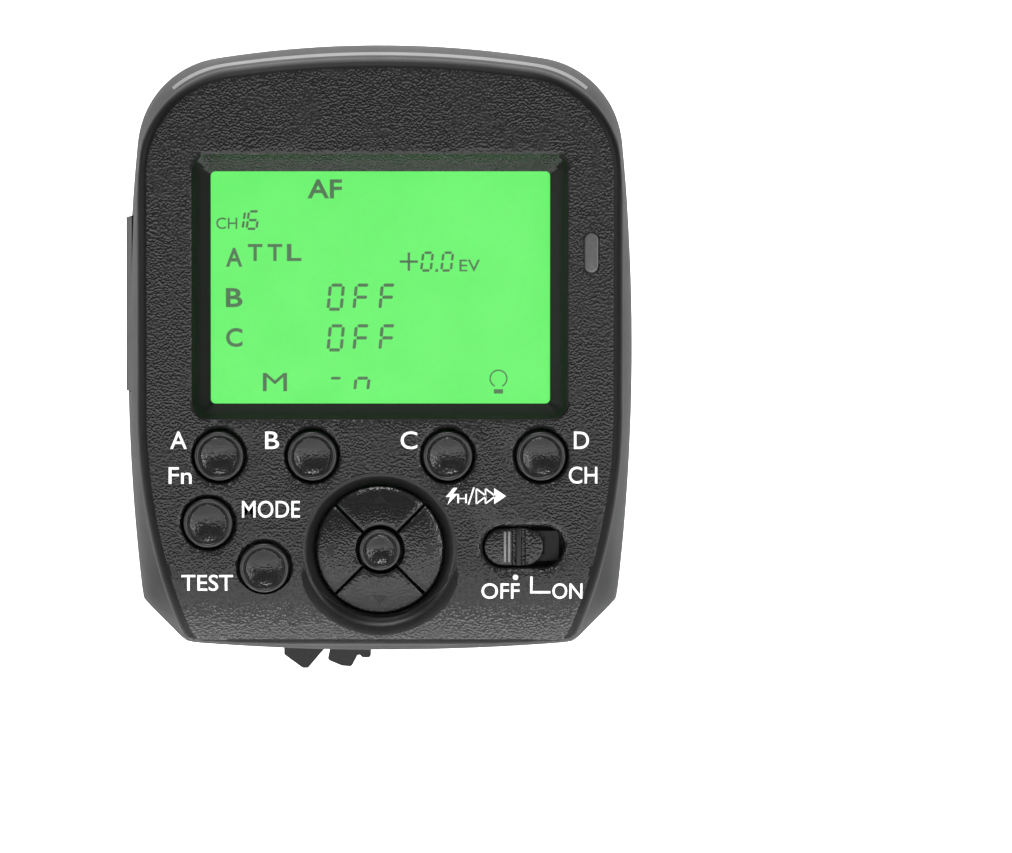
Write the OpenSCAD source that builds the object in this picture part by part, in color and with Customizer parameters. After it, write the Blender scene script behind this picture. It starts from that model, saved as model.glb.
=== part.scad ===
// Wireless flash trigger with a hot shoe foot, standing upright.
// The screen faces -Y, the foot faces +Y, and +X is to the right as seen from the screen.
// The origin is the foot's centre contact, on the outer face of the foot plate.
// A "depth" is a distance from the foot plate's outer face towards the screen, along -Y.
// A sketch is drawn in (x, z), and slab() gives it its depth.

/* [Case] */
// Width of the case at its parting line
body_w = 65.2; // [64:0.2:68]
// Height of the case at its parting line
body_h = 78.2; // [77:0.2:82]
// Height of the case's middle above the foot's axis
mid_z = 24.7; // [24:0.1:26]
// Depth of the flat screen face
front_d = 46; // [45.5:0.1:47]
// Depth of the parting line between the two case halves
parting_d = 30; // [29:0.5:31]
// Depth of the case's flat back
back_d = 14; // [13.9:0.1:14.2]
// Depth of the battery door's outer face
door_d = 9.5; // [9:0.1:10]
// Thickness of the case's side walls
wall = 1.8; // [1.5:0.1:2]

/* [Screen] */
// Half the width of the screen's recess
screen_half_w = 23.5; // [23:0.1:24]
// Top of the screen's recess above the case's middle
screen_top = 24.3; // [24:0.1:25]
// Bottom of the screen's recess above the case's middle
screen_low = -9.3; // [-9.4:0.1:-9]
// Depth of the screen window's outer face
window_d = 45.15; // [45:0.05:45.3]

/* [Keys] */
// Radius of a round button's cap
button_r = 3.1; // [2.9:0.05:3.15]
// Radial gap between a button or key and its hole
button_gap = 0.25; // [0.2:0.05:0.3]
// How far a button goes in
button_travel = 0.5; // [0.3:0.1:0.5]
// Outer radius of the four-way pad's keys
pad_r = 8.05; // [7.8:0.05:8.2]
// Gap between two neighbouring pad keys
pad_gap = 0.45; // [0.3:0.05:0.6]
// Length of the power switch's slot
slot_l = 10.2; // [9.8:0.1:10.6]
// Width of the power switch's slot
slot_w = 5.1; // [4.9:0.1:5.3]
// How far the power switch's knob slides
knob_travel = 2.4; // [2:0.1:2.5]

/* [Foot] */
// Width of the shoe plate, across the shoe's rails
plate_w = 18.5; // [18.3:0.05:18.6]
// Length of the shoe plate, along the shoe's rails
plate_l = 20.7; // [20:0.1:21]
// Thickness of the shoe plate
plate_t = 2; // [1.8:0.05:2.05]
// Width of the neck that passes between the shoe's rails
neck_w = 12.3; // [12:0.1:12.5]
// Depth of the foot disc's outer face
disc_d = 4.2; // [4.1:0.05:4.3]
// Radius of the foot disc
disc_r = 15.5; // [15:0.1:16]
// Radius of the hub that the lever ring turns on
hub_r = 10.5; // [10.4:0.1:10.6]
// Radial clearance of the lever ring on its hub
ring_fit = 0.08; // [0.05:0.01:0.1]

/* [Battery] */
// Diameter of one AA cell
cell_dia = 14; // [13.8:0.1:14]
// Length of one AA cell, with its raised end
cell_l = 49.5; // [49:0.1:50]

/* [Hidden] */
$fn = 48;
eps = 0.01;

// Case outline
body_half = body_w / 2;
body_up = body_h / 2;
side_arc_r = 270;
top_arc_r = 134;
low_arc_r = 300;
corner_r = 12;
low_corner = 7.2;
face_half = 29.2;
face_up = 35.1;
face_side_r = 73;
face_side_z = -8;

// Depths of the parts stacked behind the screen
face_in_d = front_d - 2.4;
board_d = 36.8;
board_t = 1.6;
board_front_d = board_d + board_t;
switch_top_d = board_front_d + 1.6;
stem_d = board_front_d + 2.7;
cap_d = front_d + 0.3;

// Places of the round buttons, as [x, height above the case's middle]
button_a_at = [-20.3, -13.6];
button_b_at = [-8.55, -13.6];
button_c_at = [8.55, -13.6];
button_d_at = [20.3, -13.6];
button_mode_at = [-21.7, -22.05];
button_test_at = [-14.6, -27.7];
button_places = [button_a_at, button_b_at, button_c_at, button_d_at, button_mode_at, button_test_at];
pad_at = [0, -25.4];
pad_switch_r = 5.6;
set_r = 2.6;
set_hole_r = 3;
knob_at = [18.1, -25.1];
lamp_at = [27.2, 12];

// Foot and lock
hub_end_d = 15.85;
recess_d = 13;
ring_top_d = 8.5;
ring_low_d = 12.5;
pin_z = 6.35;
small_pins = [[-2.2, -3.35], [-2.5, -5], [-2.2, -6.7], [2.2, -3.35], [2.5, -5], [2.2, -6.7]];
aux_pin = [2.6, 3.45];
small_pin_r = 0.47;
aux_pin_r = 0.7;
centre_pin_r = 0.75;
pin_proud = 0.5;
plate_screws = [[-5.12, 4.3], [5.12, 4.3], [-5.12, -6.4], [5.12, -6.4]];
case_screws_at = [[-22, -30.9], [22, -30.9]];
hub_screws_at = [[-8, 3], [8, 3], [-8, -3], [8, -3]];

// Battery bay
cell_d = 23.4;
cell_r = cell_dia / 2;
cell_heights = [23.7, 9.4];
bay_half = 26.3;
contact_t = 0.3;

// Ports behind the side flap
port_low = -5.5;
port_high = 16.9;
usb_h = 0.6;
jack_h = 11.4;
jack_r = 1.27;
jack_d = 34.1;
socket_x = -30.8;
bead_r = 0.35;
bead_x = -32.75 + bead_r;
bead_d = 31 + bead_r;

// ---------- helpers ----------

// The limits of a length that reaches half_l both ways from a middle
function around(middle, half_l) = [middle - half_l, middle + half_l];

// Two heights above the case's middle, as z
function mid_z_span(low, high) = [mid_z + low, mid_z + high];

// A sketch in (x, z) made solid between two depths
module slab(from, to) {
    translate([0, -from, 0]) rotate([90, 0, 0]) linear_extrude(to - from) children();
}

// A round rod along the depth
module rod(x, z, r, from, to) {
    translate([x, -from, z]) rotate([90, 0, 0]) cylinder(r = r, h = to - from);
}

// A rod whose radius goes from r1 to r2
module taper(x, z, r1, r2, from, to) {
    translate([x, -from, z]) rotate([90, 0, 0]) cylinder(r1 = r1, r2 = r2, h = to - from);
}

// A block given by its limits: x, z and depth
module block(x, z, d) {
    translate([x[0], -d[1], z[0]]) cube([x[1] - x[0], d[1] - d[0], z[1] - z[0]]);
}

module rounded(r) {
    offset(r = r) offset(delta = -r) children();
}

// A bar with round ends, lying along x, or along z when tall
module capsule(l, w, tall = false) {
    rotate(tall ? 90 : 0) {
        square([l - w, w], center = true);
        for (side = [-1, 1]) translate([side * (l - w) / 2, 0]) circle(d = w);
    }
}

// Everything above a height, as a sketch
module above(z) {
    translate([-60, z]) square([120, 120]);
}

// ---------- case outlines, around the case's middle ----------

// The case's outline with sharp corners and bowed sides
module bowed_block() {
    intersection() {
        translate([0, body_up - top_arc_r]) circle(top_arc_r, $fn = 240);
        translate([0, low_arc_r - body_up]) circle(low_arc_r, $fn = 360);
        intersection_for (side = [-1, 1])
            translate([side * (body_half - side_arc_r), 0]) circle(side_arc_r, $fn = 360);
    }
}

// The two lower corners, cut off at 45 degrees
module low_corners() {
    for (side = [-1, 1])
        translate([side * (body_half - 1.4), -body_up]) rotate(45) square(low_corner * sqrt(2), center = true);
}

// The case's outline at the parting line, moved inwards by inset
module body_outline(inset) {
    offset(delta = -inset) translate([0, mid_z]) {
        intersection() {
            rounded(corner_r) bowed_block();
            above(-1);
        }
        difference() {
            rounded(1.5) difference() {
                bowed_block();
                low_corners();
            }
            above(0);
        }
    }
}

// The flat screen face's outline, moved outwards by grow and ending at low
module face_outline(grow, low) {
    intersection() {
        offset(delta = grow) translate([0, mid_z]) intersection() {
            rounded(corner_r) intersection() {
                translate([0, face_up - top_arc_r]) circle(top_arc_r, $fn = 240);
                translate([-face_half, -60]) square([2 * face_half, 110]);
            }
            union() {
                above(face_side_z);
                intersection_for (side = [-1, 1])
                    translate([side * (face_half - face_side_r), face_side_z]) circle(face_side_r, $fn = 120);
            }
        }
        above(mid_z + low);
    }
}

// ---------- case halves ----------

module front_outer() {
    hull() {
        slab(parting_d, parting_d + 1.2) body_outline(0);
        slab(40.6, 41) body_outline(1.6);
        slab(43.2, 43.6) face_outline(1.75, -35.9);
        slab(44.2, 44.4) face_outline(1.5, -34.6);
        slab(front_d - 0.3, front_d) face_outline(0, -28.5);
    }
}

module front_inner() {
    hull() {
        slab(parting_d - 0.2, parting_d + 1.2) body_outline(wall);
        slab(40, 40.4) body_outline(1.6 + wall);
        slab(face_in_d - 0.4, face_in_d) face_outline(-1, -31.5);
    }
}

module display_opening() {
    translate([-screen_half_w, mid_z + screen_low])
        square([2 * screen_half_w, screen_top - screen_low]);
}

module pad_hole() {
    z = mid_z + pad_at[1];
    rod(0, z, pad_r + button_gap, face_in_d - 4, front_d + 1);
    taper(0, z, pad_r + button_gap, pad_r + 1.3, front_d - 1.1, front_d + eps);
    rod(0, z, pad_r + 1.2, face_in_d - 4, face_in_d - 0.2);
}

module case_posts(r, from, to) {
    for (p = case_screws_at) rod(p[0], mid_z + p[1], r, from, to);
}

// The side flap's seat: an extrusion along z of a section in (x, y)
module flap_section(gap) {
    translate([0, 0, mid_z + port_low - gap]) linear_extrude(port_high - port_low + 2 * gap)
        polygon([
            [-32.75, -(31 - gap)], [-31.7, -(38.2 + gap)],
            [-30.8 + gap, -(37.95 + 3 * gap)], [-31.75 + gap, -(31 - gap)]
        ]);
}

module front_housing() {
    color("#2b2b2c") difference() {
        union() {
            difference() {
                front_outer();
                front_inner();
            }
            rod(0, mid_z + pad_at[1], pad_r + 2.65, face_in_d - 2, front_d);
            case_posts(2.2, parting_d + 0.3, 44.2);
        }
        slab(window_d - 0.8, front_d + 1) display_opening();
        slab(face_in_d - 1, front_d + 1) offset(delta = -1.4) display_opening();
        for (b = button_places) rod(b[0], mid_z + b[1], button_r + button_gap, face_in_d - 1, front_d + 1);
        pad_hole();
        slab(face_in_d - 1, front_d + 1) translate([knob_at[0], mid_z + knob_at[1]]) capsule(slot_l, slot_w);
        slab(face_in_d - 1, front_d + 1) translate([lamp_at[0], mid_z + lamp_at[1]]) capsule(5.2, 1.9, tall = true);
        flap_section(0.1);
        translate([-33, -jack_d, mid_z + jack_h]) rotate([0, 90, 0]) cylinder(r = 2.4, h = 4);
        block([-33, -29], around(mid_z + usb_h, 4.8), [33.3, 37]);
        case_posts(0.8, parting_d, 40);
    }
}

// The raised ground that carries the foot, above the case's back
module pedestal() {
    intersection() {
        hull() {
            slab(back_d, back_d + 0.4) pedestal_outline(18.8, 32.4);
            slab(9, 9.3) pedestal_outline(17.6, 19);
        }
        slab(8, back_d + 1) above(-13.9);
    }
}

module pedestal_outline(r, top) {
    circle(r, $fn = 96);
    translate([-r + 0.6, 0]) square([2 * r - 1.2, top - 6]);
    translate([-r + 6.6, 0]) square([2 * r - 13.2, top]);
    for (side = [-1, 1]) translate([side * (r - 6.6), top - 6]) circle(6);
}

// The open part of the pedestal's wall, where the lever's lugs stick out
module lever_window() {
    slab(8, recess_d) polygon([[0, 0], [-30, -25.2], [-30, -40], [30, -40], [30, -50]]);
}

module battery_opening() {
    slab(back_d - 1, back_d + 3) intersection() {
        body_outline(4.6);
        translate([-bay_half - 0.2, mid_z + 11.4]) square([2 * bay_half + 0.4, 21.6]);
    }
}

module rear_housing() {
    color("#2f2f30") difference() {
        union() {
            difference() {
                union() {
                    hull() {
                        slab(parting_d - 1.2, parting_d - 0.05) body_outline(0);
                        slab(18, 18.4) body_outline(1);
                        slab(back_d, back_d + 0.3) body_outline(2.4);
                    }
                    pedestal();
                }
                hull() {
                    slab(parting_d - 1.2, parting_d + 0.2) body_outline(wall);
                    slab(18, 18.4) body_outline(1 + wall);
                    slab(back_d + 1.8, back_d + 2.1) body_outline(4.6);
                }
            }
            case_posts(2.2, back_d + 1.5, parting_d);
        }
        rod(0, 0, 16.6, 8, recess_d, $fn = 96);
        rod(0, 0, hub_r + 0.05, recess_d - 1, back_d + 3, $fn = 96);
        lever_window();
        battery_opening();
        block([-8.9, 8.9], [mid_z + 5.1, mid_z + 6.4], [10, 13.4]);
        case_posts(0.95, back_d - 1, parting_d + 1);
        case_posts(1.65, back_d - 1, back_d + 1.3);
    }
}

module door_outline(inset, low) {
    intersection() {
        body_outline(inset);
        above(mid_z + low);
    }
}

module label_outline(inset) {
    door_outline(6.2 + inset, 19.4 + inset);
}

module battery_door() {
    color("#2a2a2b") difference() {
        union() {
            hull() {
                slab(back_d - 0.9, back_d - 0.05) door_outline(2.5, 10.2);
                slab(11, 11.3) door_outline(3.1, 12.8);
                slab(door_d, door_d + 0.3) door_outline(4.9, 18.6);
            }
            for (side = [-1, 1]) {
                x = side * (bay_half - 0.5);
                block(around(x, 0.5), mid_z_span(12.5, 17), [back_d - 2, back_d + 2.6]);
                block(around(x + side * 0.5, 0.65), mid_z_span(12.5, 17), [back_d + 2, back_d + 2.6]);
            }
        }
        slab(11.2, back_d - 0.04) difference() {
            door_outline(4.6, 15.2);
            for (side = [-1, 1]) translate([side * (bay_half - 0.5) - 0.5, mid_z]) square([1, 40]);
        }
        slab(door_d - 1, door_d + 0.25) label_outline(0);
    }
}

module label_plate() {
    color("#161617") slab(door_d + 0.02, door_d + 0.25) rounded(1) label_outline(0.1);
}

// ---------- screen ----------

module display_window() {
    color("#0c0f0d") slab(window_d - 0.78, window_d) rounded(0.4) offset(delta = -0.1) display_opening();
}

module lcd_panel() {
    color("#69ff6e") slab(41, 43.3) offset(delta = -0.2) display_opening();
}

module backlight() {
    color("#f2f2ec") slab(board_front_d + 0.1, 40.95) offset(delta = -0.3) display_opening();
}

// ---------- board and what is on it ----------

module main_board() {
    color("#1d5a38") difference() {
        slab(board_d, board_front_d) body_outline(5.4);
        case_posts(2.5, board_d - 1, board_front_d + 1);
    }
}

module board_chips() {
    color("#1b1b1c") {
        block([-16, -8], [mid_z - 22, mid_z - 14], [board_d - 1.4, board_d]);
        block([16, 22], [mid_z - 12, mid_z - 7], [board_d - 1.4, board_d]);
        block([-15, -10], [mid_z - 31, mid_z - 27], [board_d - 1.2, board_d]);
    }
}

module radio_module() {
    color("#c9cccf") {
        block([-5, 13], [mid_z - 20, mid_z - 6], [board_d - 0.8, board_d]);
        block([-4, 8], [mid_z - 19, mid_z - 7], [board_d - 2.8, board_d - 0.8]);
    }
}

module buzzer() {
    color("#1a1a1a") difference() {
        rod(15, mid_z - 26, 4.5, board_d - 3.2, board_d);
        rod(15, mid_z - 26, 0.9, board_d - 4, board_d - 2);
    }
}

function pad_switches() = [for (a = [0 : 90 : 270]) pad_at + pad_switch_r * [cos(a), sin(a)]];

module tact_switches() {
    for (p = concat(button_places, pad_switches(), [pad_at])) {
        color("#b8b8b4") block(around(p[0], 1.75), around(mid_z + p[1], 1.75), [board_front_d, switch_top_d]);
        color("#222222") rod(p[0], mid_z + p[1], 0.8, switch_top_d, switch_top_d + 0.5);
    }
}

// ---------- buttons and keys ----------

// A round button: dished cap, flange under the face, stem to its switch
module button(at) {
    z = mid_z + at[1];
    color("#232324") difference() {
        union() {
            rod(at[0], z, button_r, 42.4, cap_d);
            rod(at[0], z, button_r + 0.65, 42.4, face_in_d - 0.1);
            rod(at[0], z, 1.4, stem_d, 42.5);
        }
        translate([at[0], -(cap_d + 7.4), z]) sphere(r = 8);
    }
}

// One quarter of the four-way pad, centred on the direction turn
module pad_key(turn) {
    translate([0, 0, mid_z + pad_at[1]]) rotate([0, -turn, 0]) color("#242425") difference() {
        union() {
            intersection() {
                union() {
                    rod(0, 0, pad_r, 42.4, front_d + 0.2, $fn = 96);
                    rod(0, 0, pad_r + 0.9, 42.4, 43.2, $fn = 96);
                }
                slab(42, front_d + 1) translate([pad_gap / sqrt(2), 0]) polygon([[0, 0], [20, -20], [20, 20]]);
            }
            rod(pad_switch_r, 0, 1, stem_d, 42.5);
        }
        rod(0, 0, set_hole_r, 42, front_d + 1);
        translate([pad_switch_r, -(front_d + 12.9), 0]) sphere(r = 13);
    }
}

module key_set() {
    z = mid_z + pad_at[1];
    color("#232324") difference() {
        union() {
            rod(0, z, set_r, 42.3, front_d + 0.5);
            rod(0, z, 1.2, stem_d, 42.4);
        }
        translate([0, -(front_d + 0.5 + 5.7), z]) sphere(r = 6.2);
    }
}

module switch_knob() {
    x = knob_at[0] - knob_travel / 2;
    z = mid_z + knob_at[1];
    color("#202021") {
        difference() {
            slab(42.9, 45.5) translate([x, z]) capsule(slot_l - knob_travel - 0.1, slot_w - 0.3);
            for (i = [-1 : 1]) block([x + i * 1.1 - 0.25, x + i * 1.1 + 0.25], [z - 3, z + 3], [45.1, 46]);
        }
        block([x - 6, x + 6], [z - 3.1, z + 3.1], [42.5, face_in_d - 0.15]);
        block([x - 1.1, x + 1.1], [z - 0.9, z + 0.9], [41.6, 42.6]);
    }
}

module power_switch() {
    x = knob_at[0];
    z = mid_z + knob_at[1];
    color("#c3c3bf") difference() {
        block([x - 4.6, x + 4.6], [z - 1.9, z + 1.9], [board_front_d, 42.1]);
        block([x - 2.8, x + 2.8], [z - 1.05, z + 1.05], [41.4, 43]);
    }
}

module status_lamp() {
    color("#8b8d8c") {
        slab(42.6, front_d - 0.1) translate([lamp_at[0], mid_z + lamp_at[1]]) capsule(5.1, 1.8, tall = true);
        block([25.2, 27.4], around(mid_z + lamp_at[1], 1.8), [40.6, 43.2]);
    }
}

module status_led() {
    color("#e8e4d8") block([25.2, 26.8], around(mid_z + lamp_at[1], 1), [board_front_d, 40.4]);
}

// ---------- battery bay ----------

module battery_tray() {
    color("#1f1f20") difference() {
        slab(18.4, 31.4) intersection() {
            body_outline(3);
            translate([-bay_half - 0.9, mid_z + 1.4]) square([2 * bay_half + 1.8, 30.4]);
        }
        slab(18, 30.5) intersection() {
            body_outline(3.6);
            translate([-bay_half, mid_z + 2.2]) square([2 * bay_half, 28.8]);
        }
    }
}

// One cell along x, its raised end towards side
module cell(height, side) {
    translate([side * 0.7, -cell_d, mid_z + height]) rotate([0, side * 90, 0]) {
        color("#3b6ea8") translate([0, 0, -(cell_l - 1) / 2]) cylinder(r = cell_r, h = cell_l - 1);
        color("#d8d8d8") translate([0, 0, (cell_l - 1) / 2 - 0.1]) cylinder(r = 2.6, h = 1.1);
    }
}

module cell_upper() {
    cell(cell_heights[0], 1);
}

module cell_lower() {
    cell(cell_heights[1], -1);
}

// The flat contact plates, two at each end
module battery_contacts() {
    color("#cfd2d4") for (height = cell_heights) for (side = [-1, 1]) {
        x = side * (bay_half - contact_t / 2);
        block(around(x, contact_t / 2), around(mid_z + height, 4.5), [18.5, 28.5]);
    }
}

// The two contact springs, as one tapering coil of turns each
module battery_springs() {
    spring_l = 2.4;
    for (i = [0, 1]) {
        side = i == 0 ? -1 : 1;
        color("#cfd2d4") translate([side * (bay_half - contact_t), -cell_d, mid_z + cell_heights[i]])
            rotate([0, -side * 90, 0])
                for (turn = [0 : 2]) translate([0, 0, 0.3 + turn * (spring_l - 0.6) / 2])
                    rotate_extrude() translate([3.6 - 0.7 * turn, 0]) circle(r = 0.3, $fn = 16);
    }
}

// ---------- ports ----------

module usb_socket() {
    z = mid_z + usb_h;
    color("#c4c6c8") difference() {
        slab_x([z - 4.47, z + 4.47], [33.5, 36.75], socket_x, 7.6);
        slab_x([z - 4.17, z + 4.17], [33.8, 36.45], socket_x - 1, 7);
    }
    color("#1b1b1b") slab_x([z - 3.3, z + 3.3], [34.8, 35.45], socket_x + 0.6, 6);
}

// A bar with round ends along z, running along x from a start for a length
module slab_x(z, d, start, l) {
    w = d[1] - d[0];
    translate([start, -(d[0] + d[1]) / 2, (z[0] + z[1]) / 2]) rotate([90, 0, 90]) linear_extrude(l)
        capsule(z[1] - z[0], w, tall = true);
}

module sync_jack() {
    z = mid_z + jack_h;
    color("#1d1d1e") difference() {
        union() {
            block([socket_x + 1.8, socket_x + 12], [z - 3, z + 3], [31.5, board_d - 0.05]);
            translate([socket_x, -jack_d, z]) rotate([0, 90, 0]) cylinder(r = 2.2, h = 2);
        }
        translate([socket_x - 1, -jack_d, z]) rotate([0, 90, 0]) cylinder(r = jack_r, h = 12);
    }
}

// The flap turns on the round bead along its rear edge
module port_cover() {
    color("#1c1c1d") {
        difference() {
            flap_section(0);
            block([-33, -30], mid_z_span(port_low - 1, port_high + 1), [30, bead_d]);
        }
        translate([bead_x, -bead_d, mid_z + port_low]) cylinder(r = bead_r, h = port_high - port_low);
    }
}

// ---------- foot ----------

// The contact insert's outline: a round nose on a block
module insert_outline() {
    rounded(-0.35) rounded(0.9) {
        translate([-3.6, -8.9]) square([7.2, 14.55]);
        translate([0, 6.35]) circle(1.45);
    }
}

module foot_plate() {
    color("#b3aba7") difference() {
        slab(0, plate_t) translate([-plate_w / 2, 8.5 - plate_l]) rounded(1.1) square([plate_w, plate_l]);
        slab(-1, plate_t + 1) offset(delta = 0.1) insert_outline();
        for (p = plate_screws) {
            rod(p[0], p[1], 0.65, -1, plate_t + 1);
            taper(p[0], p[1], 1, 0.65, -eps, 0.5);
        }
    }
}

module foot_base() {
    color("#161617") difference() {
        union() {
            slab(plate_t, disc_d + 0.5) translate([-neck_w / 2, -11.6]) square([neck_w, 19.6]);
            taper(0, 0, disc_r - 1.4, disc_r, disc_d, disc_d + 1.6, $fn = 96);
            rod(0, 0, disc_r, disc_d + 1.6, 8.2, $fn = 96);
            rod(0, 0, hub_r, 8.1, hub_end_d, $fn = 96);
            block([-8.2, 8.2], [8.2, 9.4], [disc_d - 0.35, disc_d + 0.5]);
        }
        slab(plate_t - 1, 9) offset(delta = 0.05) insert_outline();
        block([-5.6, 5.6], [-8.9, 7.9], [8.2, hub_end_d + 1]);
        block([-1.2, 1.2], [7, 11.5], [8.9, 12.4]);
        for (p = plate_screws) rod(p[0], p[1], 0.6, plate_t - 1, 7.6);
        for (p = hub_screws_at) rod(p[0], p[1], 0.8, 10.5, hub_end_d + 1);
    }
}

// Every contact as [x, z, radius]
function contact_list() = concat(
    [[0, 0, centre_pin_r], [aux_pin[0], aux_pin[1], aux_pin_r]],
    [for (p = small_pins) [p[0], p[1], small_pin_r]]
);

module contact_insert() {
    color("#0d0d0e") difference() {
        slab(0.08, 8.6) insert_outline();
        for (c = contact_list()) rod(c[0], c[1], c[2] + 0.2, -1, 9);
        rod(0, pin_z, 0.76, -1, 9);
    }
}

module contact_barrels() {
    color("#a8833c") for (c = contact_list()) difference() {
        rod(c[0], c[1], c[2] + 0.19, 0.35, 9.6);
        rod(c[0], c[1], c[2] + 0.06, 0, 8.9);
    }
}

// One sprung plunger with a rounded tip
module plunger(at, r) {
    color("#d9a94e") translate([at[0], 0, at[1]]) rotate([-90, 0, 0]) rotate_extrude()
        polygon(concat(
            [[0, -7.6], [r, -7.6]],
            [for (a = [0 : 15 : 90]) [r * (0.55 + 0.45 * cos(a)), pin_proud - 0.35 + 0.35 * sin(a)]],
            [[0, pin_proud]]
        ));
}

module lock_pin() {
    color("#c9c9cb") {
        rod(0, pin_z, 0.7, -0.05, 12);
        block([-0.9, 0.9], [pin_z - 0.7, 11.9], [11, 12]);
    }
}

// The lugs that the thumb pushes, at rest in the unlocked place
module lever_lugs() {
    rounded(-0.3) rounded(0.4) {
        polygon([[-6, -12], [-7.3, -15.4], [-9.6, -18.1], [-10.3, -18.1], [-12.8, -16.3], [-12.8, -14.6], [-10.6, -10]]);
        polygon([[-3, -13], [-3, -16.4], [-3.8, -17.9], [-5.1, -17.8], [-7, -17], [-6.6, -15.2], [-5.8, -13]]);
        polygon([[-1.2, -13], [-1.2, -16.7], [-2.6, -16.7], [-2.6, -13]]);
    }
}

module lever_ring() {
    color("#1a1a1b") difference() {
        union() {
            rod(0, 0, 15, ring_top_d, ring_low_d, $fn = 96);
            slab(ring_top_d + 0.2, ring_low_d - 0.2) lever_lugs();
        }
        rod(0, 0, hub_r + ring_fit, 8, 13, $fn = 96);
        slab(9, ring_low_d - 0.3) intersection() {
            circle(12.6, $fn = 96);
            polygon([[0, 0], [-3, 14], [11, 14]]);
        }
    }
}

module wave_washer() {
    color("#c6c8ca") difference() {
        rod(0, 0, 14.4, ring_low_d + 0.1, recess_d, $fn = 96);
        rod(0, 0, 11, ring_low_d, recess_d + 1, $fn = 96);
    }
}

module foot_retainer() {
    color("#bfc1c3") difference() {
        intersection() {
            rod(0, 0, 13, hub_end_d, 17, $fn = 96);
            slab(15, 18) above(-9.4);
        }
        block([-4.5, 4.5], [-6.5, 6.5], [15, 18]);
        for (p = hub_screws_at) rod(p[0], p[1], 0.9, 15, 18);
    }
}

module contact_board() {
    color("#1d5a38") block([-5, 5], [-8.4, 5.2], [9.65, 10.5]);
}

// A flat ribbon from the contact board to the main board, as a section in (y, z) given its width along x
module flex_lead() {
    t = 0.25;
    color("#b5702a") translate([-3, 0, 0]) rotate([90, 0, 90]) linear_extrude(6) polygon([
        [-10.55, -5], [-10.55, -2], [-18.3, -2], [-20, -0.5], [-34, 2], [-board_d + 0.05, 2],
        [-board_d + 0.05, 2 - t], [-34.1, 2 - t], [-20.1, -0.5 - t], [-18.2, -2 - t], [-10.55 - t, -2 - t], [-10.55 - t, -5]
    ]);
}

// ---------- fasteners ----------

module cross_recess(x, z, r, from, to) {
    for (turn = [0, 90]) translate([x, -from, z]) rotate([90, turn, 0])
        translate([-r, -r / 4, 0]) cube([2 * r, r / 2, to - from]);
}

module foot_screws() {
    color("#c8c3bf") for (p = plate_screws) difference() {
        union() {
            taper(p[0], p[1], 0.92, 0.6, 0.05, 0.5);
            rod(p[0], p[1], 0.58, 0.4, 7.4);
        }
        cross_recess(p[0], p[1], 0.5, 0, 0.3);
    }
}

module hub_screws() {
    color("#c8c8ca") for (p = hub_screws_at) difference() {
        union() {
            rod(p[0], p[1], 1.5, 17.02, 18);
            rod(p[0], p[1], 0.78, 10.8, 17.1);
        }
        cross_recess(p[0], p[1], 0.9, 17.5, 18.2);
    }
}

module case_screws() {
    color("#3a3a3b") for (p = case_screws_at) difference() {
        union() {
            rod(p[0], mid_z + p[1], 1.5, back_d + 0.2, back_d + 1.3);
            rod(p[0], mid_z + p[1], 0.78, back_d + 1.2, 38.5);
        }
        cross_recess(p[0], mid_z + p[1], 0.9, back_d, back_d + 0.8);
    }
}

// ---------- nodes ----------

front_housing();
rear_housing();
battery_door();
label_plate();
display_window();
lcd_panel();
backlight();
main_board();
board_chips();
radio_module();
buzzer();
tact_switches();
button(button_a_at);  // button_a
button(button_b_at);  // button_b
button(button_c_at);  // button_c
button(button_d_at);  // button_d
button(button_mode_at);  // button_mode
button(button_test_at);  // button_test
pad_key(90);  // key_up
pad_key(270);  // key_down
pad_key(180);  // key_left
pad_key(0);  // key_right
key_set();
switch_knob();
power_switch();
status_lamp();
status_led();
battery_tray();
cell_upper();
cell_lower();
battery_springs();
battery_contacts();
usb_socket();
sync_jack();
port_cover();
foot_base();
foot_plate();
contact_insert();
contact_barrels();
plunger([0, 0], centre_pin_r);  // centre_contact
plunger(aux_pin, aux_pin_r);  // aux_contact
for (i = [1 : 6])
    plunger(small_pins[i - 1], small_pin_r);
lock_pin();
lever_ring();
wave_washer();
foot_retainer();
contact_board();
flex_lead();
foot_screws();
hub_screws();
case_screws();
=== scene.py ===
import math

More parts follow.
